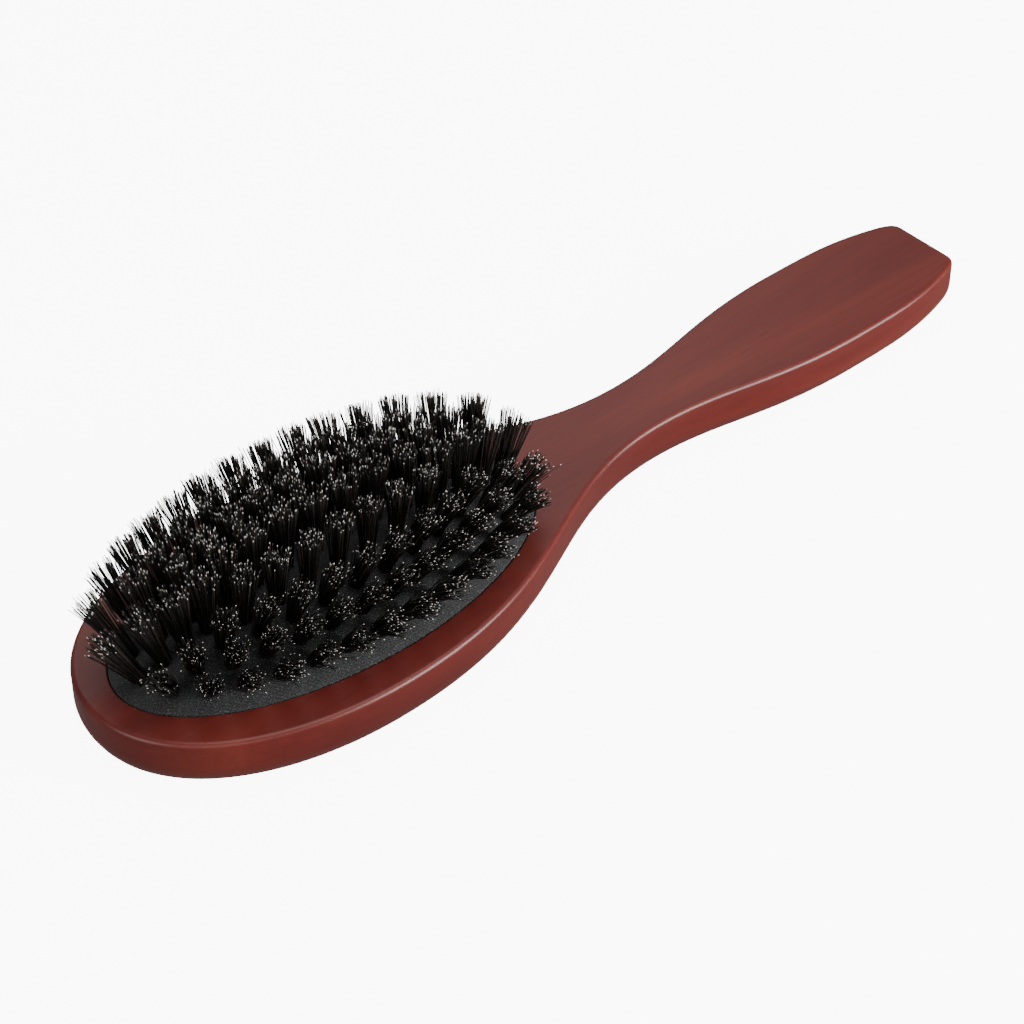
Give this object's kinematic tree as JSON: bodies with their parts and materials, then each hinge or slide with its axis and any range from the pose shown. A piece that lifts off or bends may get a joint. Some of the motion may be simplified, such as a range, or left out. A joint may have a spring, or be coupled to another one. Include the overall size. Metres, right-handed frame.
{
  "type": "cushion hairbrush",
  "caption": "Oval cushion hairbrush: dark wood head and handle in a single piece, domed cloth-faced rubber cushion, rings of dark bristle tufts that spring down together.",
  "frame": {"origin": "middle of the brush's length and width, on the flat back that it rests on", "axes": "+X from the nose of the head to the end of the handle, +Y across the brush, +Z the way the bristles point"},
  "size_m": [0.225, 0.064, 0.033],
  "materials": {
    "stained_wood": "dark red stain under a satin lacquer",
    "cushion_rubber": "matte black natural rubber",
    "cushion_cloth": "fine black cloth bonded to the rubber",
    "bristle": "dark natural bristle with paler cut tips",
    "staple_wire": "plain steel wire"
  },
  "bodies": {
    "brush": {"wooden_body": "stained_wood", "cushion_rubber": "cushion_rubber", "cushion_cloth": "cushion_cloth"},
    "outer_ring": {"bristles_outer_ring": "bristle", "staples_outer_ring": "staple_wire"},
    "second_ring": {"bristles_second_ring": "bristle", "staples_second_ring": "staple_wire"},
    "third_ring": {"bristles_third_ring": "bristle", "staples_third_ring": "staple_wire"},
    "centre_ring": {"bristles_centre_ring": "bristle", "staples_centre_ring": "staple_wire"}
  },
  "joints": [
    {"name": "outer_press", "type": "slide", "parent": "brush", "child": "outer_ring", "axis": [0, 0, -1], "range_m": [0, 0.00147], "stiffness_N_per_m": 1500},
    {"name": "second_press", "type": "slide", "parent": "brush", "child": "second_ring", "axis": [0, 0, -1], "range_m": [0, 0.00228], "stiffness_N_per_m": 1500},
    {"name": "third_press", "type": "slide", "parent": "brush", "child": "third_ring", "axis": [0, 0, -1], "range_m": [0, 0.00276], "stiffness_N_per_m": 1500},
    {"name": "centre_press", "type": "slide", "parent": "brush", "child": "centre_ring", "axis": [0, 0, -1], "range_m": [0, 0.003], "stiffness_N_per_m": 1500, "deforming": ["cushion_rubber", "cushion_cloth"]}
  ],
  "couplings": [
    {"joint": "outer_press", "follows": "centre_press", "ratio": 0.49},
    {"joint": "second_press", "follows": "centre_press", "ratio": 0.76},
    {"joint": "third_press", "follows": "centre_press", "ratio": 0.92}
  ]
}
